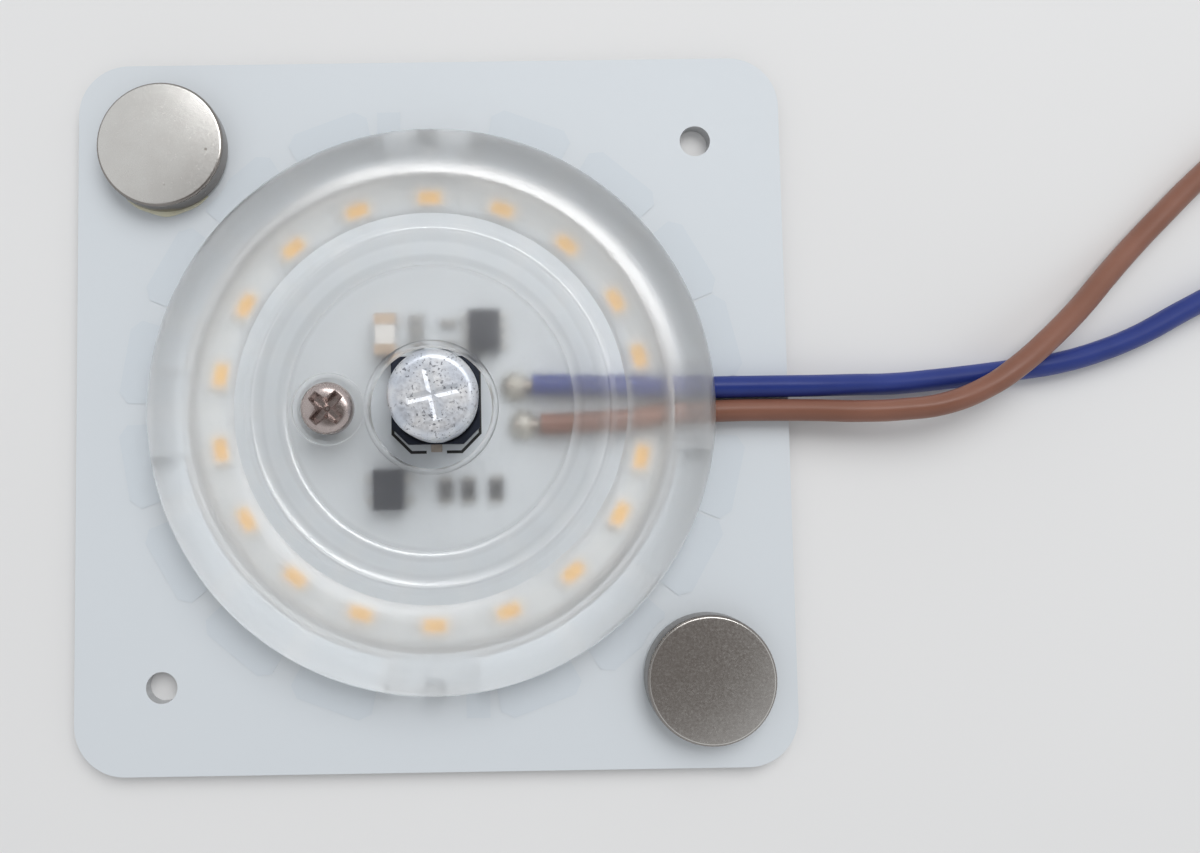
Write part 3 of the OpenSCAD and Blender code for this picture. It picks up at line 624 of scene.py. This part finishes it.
def lens_light(tree, flat, radius, height, low):
    """How much of the lamps' light the lens lets through: less at its steep outside and its tunnels."""
    surface = add(tree, "ShaderNodeNewGeometry")
    normal = surface.outputs["Normal"]
    facing = vector_calc(tree, "DOT_PRODUCT", normal, vector_calc(tree, "NORMALIZE", flat))
    facing = calc(tree, "MULTIPLY", facing, mapped(tree, surface.outputs["Backfacing"], 0, 1, 1, -1))
    facing = calc(tree, "MAXIMUM", facing, 0.0)
    level = rest(tree, calc(tree, "MULTIPLY", facing, facing))
    wall = calc(tree, "GREATER_THAN", radius, WALL_R * MM)
    upper_radius = calc(tree, "MULTIPLY", radius, rest(tree, low))
    outside = calc(tree, "MAXIMUM", wall, calc(tree, "GREATER_THAN", upper_radius, CREST_R * MM))
    dimmed = calc(tree, "MULTIPLY", outside, rest(tree, calc(tree, "POWER", level, SHADE_POWER)))

    flatness = calc(tree, "ABSOLUTE", upright(tree, normal))
    above_foot = calc(tree, "GREATER_THAN", height, TUNNEL_MID_Z * MM)
    roof = calc(tree, "MULTIPLY", calc(tree, "MULTIPLY", flatness, above_foot), TUNNEL_ROOF_SHADE)
    side = mapped(tree, flatness, 0, 1, TUNNEL_SIDE_SHADE, 0)
    tunnel = calc(tree, "MULTIPLY", wall, calc(tree, "MAXIMUM", roof, side))
    dimmed = calc(tree, "MAXIMUM", dimmed, tunnel)

    inner = mapped(tree, radius, DISC_R * MM, RIDGE_LIGHT_R * MM, DISC_LIGHT, RIDGE_LIGHT)
    ring_start, ring_end = RING_LIGHT_RUN
    ring = mapped(tree, radius, ring_start * MM, ring_end * MM, 0, RING_LIGHT_MORE)
    clear = calc(tree, "ADD", inner, ring)
    return calc(tree, "MULTIPLY", clear, mapped(tree, dimmed, 0, 1, 1, LEAST_LIGHT))


def lens_look():
    """Clear moulded plastic: satin above, more frosted on the disc and on the underside."""
    made, tree, shader = material("frosted_lens", LENS_SETTINGS)
    flat = stretched(tree, (1, 1, 0))
    radius = vector_calc(tree, "LENGTH", flat)
    height = upright(tree, place_of(tree))
    low = calc(tree, "LESS_THAN", height, ROOF_Z * MM)
    lens_surface(tree, shader, radius, low)
    through = lens_light(tree, flat, radius, height, low)
    lit = add(tree, "ShaderNodeBsdfTransparent", {"Color": through}).outputs[0]
    shaded = add(tree, "ShaderNodeLightPath").outputs["Is Shadow Ray"]
    both = add(tree, "ShaderNodeMixShader", {0: shaded, 1: shader.outputs[0], 2: lit}).outputs[0]
    tree.links.new(both, tree.nodes["Material Output"].inputs["Surface"])
    return made


def metal_look(name, colour, tint, roughness, scale, distance):
    """A metal with cloudy colour and roughness, and fine grain."""
    made, tree, shader = material(name, {"Metallic": 1.0})
    grain = noise(tree, scale * 8, detail=3)
    link(tree, blended(tree, clouds(tree, scale, detail=5), colour, tint), shader, "Base Color")
    link(tree, spread(tree, grain, roughness * 0.8, roughness * 1.25), shader, "Roughness")
    bumped(tree, shader, grain, distance, strength=0.6)
    return made


def magnet_look():
    """Nickel plating with a few dark specks on the faces, and a painted dark reflection in dark brown round
    the edges and sides.
    """
    made, tree, shader = material("nickel_magnet", {"Metallic": 1.0})
    face = (0.75, 0.735, 0.705, 1)
    cloudy = (0.72, 0.7, 0.67, 1)
    # Painted dark reflection: a dark brown that stands in for the dark surroundings mirrored in the rounded
    # edges and sides
    edge = (0.27, 0.25, 0.235, 1)
    speck = (0.3, 0.27, 0.24, 1)
    plated = blended(tree, clouds(tree, scale=450, detail=5), face, cloudy)
    plated = blended(tree, specks(tree, scale=420, inner=0.05, outer=0.09, strength=0.7), plated, speck)
    flatness = calc(tree, "ABSOLUTE", upright(tree, normal_of(tree)))
    # Painted dark reflection: the colour turns dark brown wherever the surface tilts away from facing up
    link(tree, blended(tree, mapped(tree, flatness, 0.9, 0.99, 1, 0), plated, edge), shader, "Base Color")
    grain = noise(tree, scale=3600, detail=3)
    link(tree, spread(tree, grain, 0.176, 0.275), shader, "Roughness")
    bumped(tree, shader, grain, distance=0.002, strength=0.6)
    return made


def can_look():
    """Frosted aluminium, cloudy and with patches of fine dark grain."""
    made, tree, shader = material("bare_can", {"Metallic": 1.0})
    bright = (0.89, 0.9, 0.92, 1)
    dull = (0.66, 0.7, 0.77, 1)
    dark = (0.16, 0.17, 0.2, 1)
    frosted = blended(tree, mapped(tree, noise(tree, scale=260, detail=4), 0.4, 0.6, 0, 1), bright, dull)
    dots = mapped(tree, noise(tree, scale=3400, detail=2), 0.58, 0.66, 0, 1)
    patches = mapped(tree, noise(tree, scale=420, detail=2), 0.4, 0.56, 0.1, 0.85)
    link(tree, blended(tree, calc(tree, "MULTIPLY", dots, patches), frosted, dark), shader, "Base Color")
    link(tree, spread(tree, noise(tree, scale=2600, detail=3), 0.36, 0.52), shader, "Roughness")
    bumped(tree, shader, noise(tree, scale=1800, detail=3), distance=0.03, strength=0.6)
    return made


def plastic_look(name, colour, tint, roughness, scale, distance, shine):
    """A moulded or ceramic body with slight clouding and fine grain."""
    made, tree, shader = material(name, {"Specular IOR Level": shine})
    grain = noise(tree, scale, detail=3)
    link(tree, blended(tree, clouds(tree, scale / 8, detail=3), colour, tint), shader, "Base Color")
    link(tree, spread(tree, grain, roughness - 0.06, roughness + 0.08), shader, "Roughness")
    bumped(tree, shader, grain, distance, strength=0.6)
    return made


def insulation_look(name, colour, tint):
    """Extruded insulation: satin, with faint marks along the lead."""
    made, tree, shader = material(
        name,
        {
            "Specular IOR Level": 0.35,
            "Subsurface Weight": 0.06,
            "Subsurface Radius": (0.6, 0.4, 0.3),
            "Subsurface Scale": 0.5 * MM,
        },
    )
    marks = noise(tree, scale=900, detail=4, vector=stretched(tree, (0.06, 1, 1)))
    link(tree, blended(tree, clouds(tree, scale=160, detail=4), colour, tint), shader, "Base Color")
    link(tree, spread(tree, marks, 0.3, 0.44), shader, "Roughness")
    bumped(tree, shader, marks, distance=0.012, strength=0.5)
    return made


def glue_look():
    """Pale yellowish glue that lets a little light through."""
    made, tree, shader = material(
        "clear_glue", {"Transmission Weight": 0.15, "IOR": 1.48, "Specular IOR Level": 0.5}
    )
    pale = (0.76, 0.73, 0.55, 1)
    deeper = (0.68, 0.66, 0.52, 1)
    cloud = clouds(tree, scale=400, detail=3)
    link(tree, blended(tree, cloud, pale, deeper), shader, "Base Color")
    link(tree, mapped(tree, cloud, 0, 1, 0.12, 0.3), shader, "Roughness")
    bumped(tree, shader, noise(tree, scale=700, detail=2), distance=0.05, strength=0.5)
    return made


# Pieces

def lens_section():
    """Half of the lens's section, from its outer foot over the top and back along the hollow."""
    slope_w = LENS_R - SLOPE_TOP_R
    crest = math.degrees(math.acos((CREST_R - SLOPE_TOP_R) / slope_w))
    valley = math.asin((VALLEY_H - LENS_EDGE_H) / SLOPE_RISE)
    hump_w = (HUMP_TOP_R - VALLEY_R) / math.cos(valley)
    hump = math.degrees(math.acos((HUMP_TOP_R - CREST_R) / hump_w))
    hump_end = 180 - math.degrees(valley)
    fall = math.degrees(math.atan2(LEDGE_H + RIDGE_RISE - VALLEY_H, VALLEY_R - RIDGE_R))
    climb = 2 * math.degrees(math.atan2(RIDGE_RISE, RIDGE_R - COVE_R))
    cove_r = (RIDGE_R - COVE_R) / math.sin(math.radians(climb))
    ridge_drop = RIDGE_EDGE_R / math.cos(math.radians((fall + climb) / 2))
    ridge = (RIDGE_R, LEDGE_H + RIDGE_RISE - ridge_drop)
    ceiling_h = DISC_H - DISC_T
    bead_r = BEAD_W / 2
    foot = (FOOT_INNER_R - FOOT_FILLET, HOLLOW_H - FOOT_FILLET)
    return (
        [(LENS_R, 0)]
        + arc((SLOPE_TOP_R, LENS_EDGE_H), slope_w, SLOPE_RISE, 0, crest, SLOPE_STEPS)
        + arc((HUMP_TOP_R, LENS_EDGE_H), hump_w, SLOPE_RISE, 180 - hump, hump_end, HUMP_STEPS)[1:]
        + arc(ridge, RIDGE_EDGE_R, RIDGE_EDGE_R, 90 - fall, 90 + climb, RIDGE_STEPS)
        + arc((COVE_R, LEDGE_H + cove_r), cove_r, cove_r, 270 + climb * COVE_SHARE, 270, COVE_STEPS)
        + arc((LEDGE_R, DISC_H), LEDGE_R - DISC_R, LEDGE_H - DISC_H, 90, 180, LEDGE_STEPS)
        + arc((HOLE_R + bead_r, DISC_H), bead_r, BEAD_H, 0, 180, BEAD_STEPS)
        + [(HOLE_R, ceiling_h), (DISC_R, ceiling_h), (DISC_R + CEILING_RUN, HOLLOW_H)]
        + arc((LED_RING_R, HOLLOW_H), GROOVE_HALF_W, GROOVE_RISE, 180, 0, GROOVE_STEPS)
        + arc(foot, FOOT_FILLET, FOOT_FILLET, 90, 0, FILLET_STEPS)
        + [(FOOT_INNER_R, 0)]
    )


def tunnel_outline(with_post):
    """A lead tunnel seen from above, pointing along +X."""
    end = LENS_R + CUT_PAST
    half = TUNNEL_W / 2
    post = POST_W / 2
    nose = LENS_R - POST_LEN + post
    outline = [(TUNNEL_START_R, -half), (end, -half)]
    if with_post:
        outline += [(end, -post)] + arc((nose, 0), post, post, 270, 90, NOSE_STEPS) + [(end, post)]
    return outline + [(end, half), (TUNNEL_START_R, half)]


def make_lens(look):
    """The turned lens with its screw boss, cut by the lead tunnels and the screw's pocket."""
    lens = place(turned(lens_section(), LENS_SEGMENTS, closed=True), "lens", (0, 0, FOOT_Z + LENS_LIFT))
    inside = DISC_H - DISC_T / 2
    boss = turned([(0, 0), (BOSS_R, 0), (BOSS_R, inside), (0, inside)], BOSS_SEGMENTS)
    carve(lens, [place(boss, "boss", (SCREW_X, 0, FOOT_Z))], "UNION")
    helpers = []
    for i in range(TUNNELS):
        outline = tunnel_outline(with_post=i % 2 == 1)
        tunnel = drawn(outline, -CUT_PAST, outline, TUNNEL_H)
        helpers.append(place(tunnel, f"tunnel_{i}", (0, 0, FOOT_Z), 360 / TUNNELS * i))
    seat = DISC_H - POCKET_DEPTH
    lip_r = POCKET_R + POCKET_LIP
    pocket = (
        [(0, -CUT_PAST), (BORE_R, -CUT_PAST), (BORE_R, seat), (POCKET_R, seat)]
        + arc((lip_r, DISC_H - POCKET_LIP), POCKET_LIP, POCKET_LIP, 180, 90, LIP_STEPS)
        + [(lip_r, DISC_H + CUT_PAST), (0, DISC_H + CUT_PAST)]
    )
    helpers.append(place(turned(pocket, BOSS_SEGMENTS), "pocket", (SCREW_X, 0, FOOT_Z)))
    carve(lens, helpers)
    smooth(lens, LENS_SHARP)
    dress(lens, look, "frosted_lens", "lens_cover")


def thread(radius, height, angle):
    """The shank's radius with the thread cut into it; other radii stay as they are."""
    if radius != SHANK_R:
        return radius
    phase = (height / THREAD_PITCH - angle / (2 * math.pi)) % 1
    return radius - THREAD_DEPTH * abs(2 * phase - 1)


def screw_section():
    """Half of the screw's section, from its tip to the top of its head."""
    start = SCREW_TIP_Z + POINT_LEN
    heights = [start + (SCREW_SEAT_Z - start) * i / SHANK_STEPS for i in range(SHANK_STEPS + 1)]
    rim_z = SCREW_SEAT_Z + HEAD_RIM_H
    rise = HEAD_H - HEAD_RIM_H
    section = [(0, SCREW_TIP_Z), (POINT_R, SCREW_TIP_Z)]
    section += [(SHANK_R, height) for height in heights]
    section += [(SCREW_R - HEAD_CHAMFER, SCREW_SEAT_Z), (SCREW_R, SCREW_SEAT_Z + HEAD_CHAMFER)]
    for i in range(DOME_STEPS):
        angle = math.pi / 2 * i / DOME_STEPS
        out = SCREW_R * math.cos(angle) ** HEAD_FLATNESS
        section.append((out, rim_z + rise * math.sin(angle) ** HEAD_FLATNESS))
    return section + [(0, rim_z + rise)]


def make_screw(look):
    """The threaded screw with a bevelled cross recess and a deeper middle."""
    at = (SCREW_X, 0, 0)
    screw = place(turned(screw_section(), SCREW_SEGMENTS, ripple=thread), "cross_screw", at)
    top = SCREW_SEAT_Z + HEAD_H
    bottom = top - CORE_DEPTH
    past = top + CORE_PAST
    core = [(0, bottom), (CORE_LOW_R, bottom), (CORE_R, top), (CORE_R, past), (0, past)]
    helpers = [place(turned(core, CORE_SEGMENTS), "core", at)]
    wide = (CROSS_LEN + 2 * CROSS_BEVEL, CROSS_W + 2 * CROSS_BEVEL)
    narrow = (CROSS_LEN - CROSS_BEVEL, CROSS_W - CROSS_BEVEL)
    bevel_low = top - CROSS_BEVEL - CROSS_SINK
    bevel_high = top - CROSS_SINK + CROSS_BEVEL
    size = (CROSS_LEN, CROSS_W)
    low_size = (CROSS_LOW_LEN, CROSS_LOW_W)
    for turn in (0, 90):
        wing = tapered(size, low_size, top - CROSS_DEPTH, top + CROSS_PAST)
        helpers.append(place(wing, f"wing_{turn}", at, CROSS_TURN + turn))
        bevel = tapered(wide, narrow, bevel_low, bevel_high)
        helpers.append(place(bevel, f"bevel_{turn}", at, CROSS_TURN + turn))
    carve(screw, helpers)
    smooth(screw, SCREW_SHARP)
    dress(screw, look, "nickel_screw", "lens_screw")


def make_can(look):
    """The drawn can with its crimp, its rounded shoulder and the plain cross scored in its top."""
    middle, radius, foot, top = round_box(*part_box("capacitor_can"))
    crimp = arc((radius + CRIMP_R - CRIMP_DEPTH, foot + CRIMP_H), CRIMP_R, CRIMP_R, *CRIMP_ARC, CAN_STEPS)
    section = (
        [(0, foot), (radius - CAN_FOOT_CHAMFER, foot), (radius, foot + CAN_FOOT_CHAMFER)]
        + [(min(r, radius), z) for r, z in crimp]
        + arc((radius - CAN_SHOULDER, top - CAN_SHOULDER), CAN_SHOULDER, CAN_SHOULDER, 0, 90, CAN_STEPS)
        + [(0, top)]
    )
    at = (middle.x, middle.y, 0)
    can = place(turned(section, CAN_SEGMENTS), "can", at)
    size = (SCORE_LEN, SCORE_W)
    low_size = (SCORE_LOW_LEN, SCORE_LOW_W)
    helpers = []
    for turn in (0, 90):
        groove = tapered(size, low_size, top - SCORE_DEPTH, top + SCORE_PAST)
        helpers.append(place(groove, f"score_{turn}", at, SCORE_TURN + turn))
    carve(can, helpers)
    smooth(can, CAN_SHARP)
    dress(can, look, "bare_can", "capacitor_can")


def magnet_solid(node, name):
    """A disc with rounded edges in a magnet's place."""
    middle, radius, bottom, top = round_box(*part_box(node))
    inner = radius - MAGNET_EDGE_R
    section = (
        [(0, bottom)]
        + arc((inner, bottom + MAGNET_EDGE_R), MAGNET_EDGE_R, MAGNET_EDGE_R, 270, 360, MAGNET_STEPS)
        + arc((inner, top - MAGNET_EDGE_R), MAGNET_EDGE_R, MAGNET_EDGE_R, 0, 90, MAGNET_STEPS)
        + [(0, top)]
    )
    return place(turned(section, MAGNET_SEGMENTS), name, (middle.x, middle.y, 0))


def make_magnet(node, look):
    """One disc magnet."""
    magnet = magnet_solid(node, node + "_disc")
    smooth(magnet, MAGNET_SHARP)
    dress(magnet, look, "nickel_magnet", node)


def glue_bead(radius):
    """Glue along part of a magnet's edge, thickest in the middle and run out at both ends."""
    start = radius - GLUE_UNDER
    bm = bmesh.new()
    rings = []
    for i in range(GLUE_STEPS + 1):
        share = i / GLUE_STEPS
        swell = 1 + GLUE_SWELL * math.sin(GLUE_SWELLS * math.pi * share)
        size = max(GLUE_LEAST, math.sin(math.pi * share) * swell)
        angle = math.radians(GLUE_TURN + GLUE_SPAN * share)
        edge = arc((start, 0), GLUE_UNDER + GLUE_W * size, GLUE_H * size, 0, 90, GLUE_ARC_STEPS)
        rings.append([bm.verts.new(polar(r, angle, z)) for r, z in [(start, 0)] + edge])
    bm.faces.new(rings[0])
    bm.faces.new(rings[-1])
    for first, second in zip(rings, rings[1:]):
        bridge(bm, first, second)
    return bm


def make_glue(look):
    """A film under each magnet, and the bead that it squeezes out."""
    beads = []
    for node in MAGNETS:
        middle, radius, bottom, _ = round_box(*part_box(node))
        at = (middle.x, middle.y, FOOT_Z)
        film_r = radius - MAGNET_EDGE_R
        film_h = bottom - FOOT_Z
        film = turned([(0, 0), (film_r, 0), (film_r, film_h), (0, film_h)], FILM_SEGMENTS)
        bead = place(glue_bead(radius), node + "_bead", at)
        carve(bead, [place(film, node + "_film", at)], "UNION")
        carve(bead, [magnet_solid(node, node + "_space")])
        beads.append(bead)
    glue = beads[0]
    carve(glue, beads[1:], "UNION")
    glue.name = "magnet_beads"
    smooth(glue, GLUE_SHARP)
    dress(glue, look, "clear_glue", "magnet_glue")


def make_curve(name, routes, diameter, kind, bevel):
    """A tube along each route."""
    curve = bpy.data.curves.new(name, "CURVE")
    curve.dimensions = "3D"
    curve.bevel_depth = diameter / 2 * MM
    curve.bevel_resolution = bevel
    curve.resolution_u = CURVE_STEPS
    curve.use_fill_caps = True
    for route in routes:
        spline = curve.splines.new(kind)
        points = spline.bezier_points if kind == "BEZIER" else spline.points
        points.add(len(route) - 1)
        for point, at in zip(points, route):
            if kind == "BEZIER":
                point.co = Vector(at) * MM
                point.handle_left_type = "AUTO"
                point.handle_right_type = "AUTO"
            else:
                point.co = (*(Vector(at) * MM), 1)
    thing = bpy.data.objects.new(name, curve)
    bpy.context.scene.collection.objects.link(thing)
    return thing


def make_strands(name, start, look, node):
    """Bare copper strands, twisted, along +X from the insulation's end."""
    routes = []
    for radius, count in STRAND_LAYERS:
        for k in range(count):
            route = []
            for i in range(TIP_STEPS + 1):
                along = TIP_LEN * i / TIP_STEPS
                angle = 2 * math.pi * k / count + STRAND_TWIST * along
                offset = Vector((along, radius * math.cos(angle), radius * math.sin(angle)))
                route.append(Vector(start) + offset)
            routes.append(route)
    strands = make_curve(name, routes, STRAND_D, "POLY", STRAND_BEVEL)
    dress(strands, look, "copper_strands", node)
    return strands


def make_lead(name, route, look, copper):
    """One lead and its bare end."""
    lead = make_curve(name + "_insulation", [route], LEAD_D, "BEZIER", LEAD_BEVEL)
    dress(lead, look, name + "_insulation", name + "_lead")
    strands = make_strands(name + "_strands", route[-1], copper, name + "_lead_tip")


def band(points, width, thickness):
    """A flat ribbon of even width along an open line of (x, y) points."""
    left, right = [], []
    for i, point in enumerate(points):
        here = Vector(point)
        before = (here - Vector(points[i - 1])).normalized() if i else None
        after = (Vector(points[i + 1]) - here).normalized() if i + 1 < len(points) else None
        onward = after or before
        along = ((before or after) + onward).normalized()
        across = Vector((-along.y, along.x))
        reach = width / 2 / max(MITRE_LEAST, across.dot(Vector((-onward.y, onward.x))))
        left.append(tuple(here + across * reach))
        right.append(tuple(here - across * reach))
    outline = left + right[::-1]
    return drawn(outline, 0, outline, thickness)


def make_print(look):
    """The printed outline round the capacitor, open at the two terminals."""
    low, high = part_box("capacitor_base")
    half = (high.x - low.x) / 2 / MM + PRINT_SIDE
    middle = (low.x + high.x) / 2 / MM
    bottom = low.y / MM - PRINT_BELOW
    top = high.y / MM + PRINT_SIDE
    line = [
        (PRINT_GAP / 2, bottom), (half - PRINT_CHAMFER, bottom), (half, bottom + PRINT_CHAMFER),
        (half, top), (PRINT_GAP / 2, top),
    ]
    halves = []
    for side in (-1, 1):
        ink = band([(side * x, y) for x, y in line], PRINT_W, PRINT_T)
        halves.append(place(ink, f"print_{side + 1}", (middle, 0, low.z / MM)))
    outline = halves[0]
    carve(outline, halves[1:], "UNION")
    outline.name = "capacitor_outline"
    dress(outline, look, "white_mask_board")


# The set

def make_floor():
    """A plain pale floor under the board."""
    bm = bmesh.new()
    bmesh.ops.create_grid(bm, x_segments=1, y_segments=1, size=FLOOR_HALF)
    floor = place(bm, "floor", (0, 0, -FLOOR_DROP))
    made, tree, shader = material("pale_floor", {"Roughness": 0.7, "Specular IOR Level": 0.2})
    first, second = FLOOR_GREYS
    cloud = spread(tree, noise(tree, scale=8, detail=3), 0, 1)
    link(tree, blended(tree, cloud, grey(first), grey(second)), shader, "Base Color")
    floor.data.materials.append(made)


def make_lamp(name, distance, tilt, turn, size, power):
    """An oval soft lamp of a width and a height that looks at the middle of the board."""
    data = bpy.data.lights.new(name, "AREA")
    data.shape = "ELLIPSE"
    data.size, data.size_y = size
    data.energy = power
    lamp = bpy.data.objects.new(name, data)
    bpy.context.scene.collection.objects.link(lamp)
    across = math.sin(math.radians(tilt))
    turn = math.radians(turn)
    towards = Vector((across * math.cos(turn), across * math.sin(turn), math.cos(math.radians(tilt))))
    lamp.location = towards * distance
    lamp.rotation_mode = "QUATERNION"
    lamp.rotation_quaternion = towards.to_track_quat("Z", "Y")
    lamp.visible_camera = False
    return lamp


def make_light():
    """A broad key high on the far right, a small glint beside it, and a dim surround, darker overhead."""
    key = make_lamp("key", KEY_DISTANCE, KEY_TILT, KEY_TURN, KEY_SIZE, KEY_POWER)
    key.visible_glossy = False
    key.visible_transmission = False
    glint = make_lamp("glint", GLINT_DISTANCE, GLINT_TILT, GLINT_TURN, GLINT_SIZE, GLINT_POWER)
    glint.visible_diffuse = False
    glint.visible_transmission = False
    glint.visible_volume_scatter = False

    world = bpy.data.worlds.new("studio")
    bpy.context.scene.world = world
    world.use_nodes = True
    tree = world.node_tree
    direction = add(tree, "ShaderNodeTexCoord").outputs["Generated"]
    facing = vector_calc(tree, "DOT_PRODUCT", direction, DARK_TOWARDS)
    outer = math.cos(math.radians(DARK_OUTER))
    inner = math.cos(math.radians(DARK_INNER))
    share = mapped(tree, facing, outer, inner, 0, 1, "SMOOTHSTEP")
    link(tree, blended(tree, share, WORLD_BRIGHT, WORLD_DARK), tree.nodes["Background"], "Color")


def make_camera():
    """A short lens close above the board, as the photo was taken."""
    data = bpy.data.cameras.new("camera")
    data.lens = CAMERA_LENS
    data.sensor_width = CAMERA_SENSOR
    data.shift_x = CAMERA_SHIFT_X
    data.clip_start = CAMERA_NEAR
    camera = bpy.data.objects.new("camera", data)
    camera.location = Vector(CAMERA_PLACE) * MM
    camera.rotation_euler = [math.radians(a) for a in CAMERA_TURN]
    bpy.context.scene.collection.objects.link(camera)
    bpy.context.scene.camera = camera


bpy.context.scene.view_settings.view_transform = "Standard"
make_camera()
make_light()
make_floor()

looks = {"white_mask_board": board_look()}
for look_name, values in METALS.items():
    looks[look_name] = metal_look(look_name, *values)
for look_name, values in PLASTICS.items():
    looks[look_name] = plastic_look(look_name, *values)

for lead_name, (lead_route, colour, tint) in LEADS.items():
    insulation = insulation_look(lead_name + "_insulation", colour, tint)
    make_lead(lead_name, lead_route, insulation, looks["copper_strands"])
make_lens(lens_look())
make_screw(looks["nickel_screw"])
make_can(can_look())
make_print(looks["printed_ink"])
nickel = magnet_look()
for magnet_name in MAGNETS:
    make_magnet(magnet_name, nickel)
make_glue(glue_look())

node_looks = dict(NODE_LOOKS)
for prefix, look_name in FAMILY_LOOKS.items():
    for node_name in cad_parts:
        if node_name.startswith(prefix):
            node_looks.setdefault(node_name, look_name)
for node_name, look_name in node_looks.items():
    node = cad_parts[node_name]
    node.data.materials.clear()
    node.data.materials.append(looks[look_name])
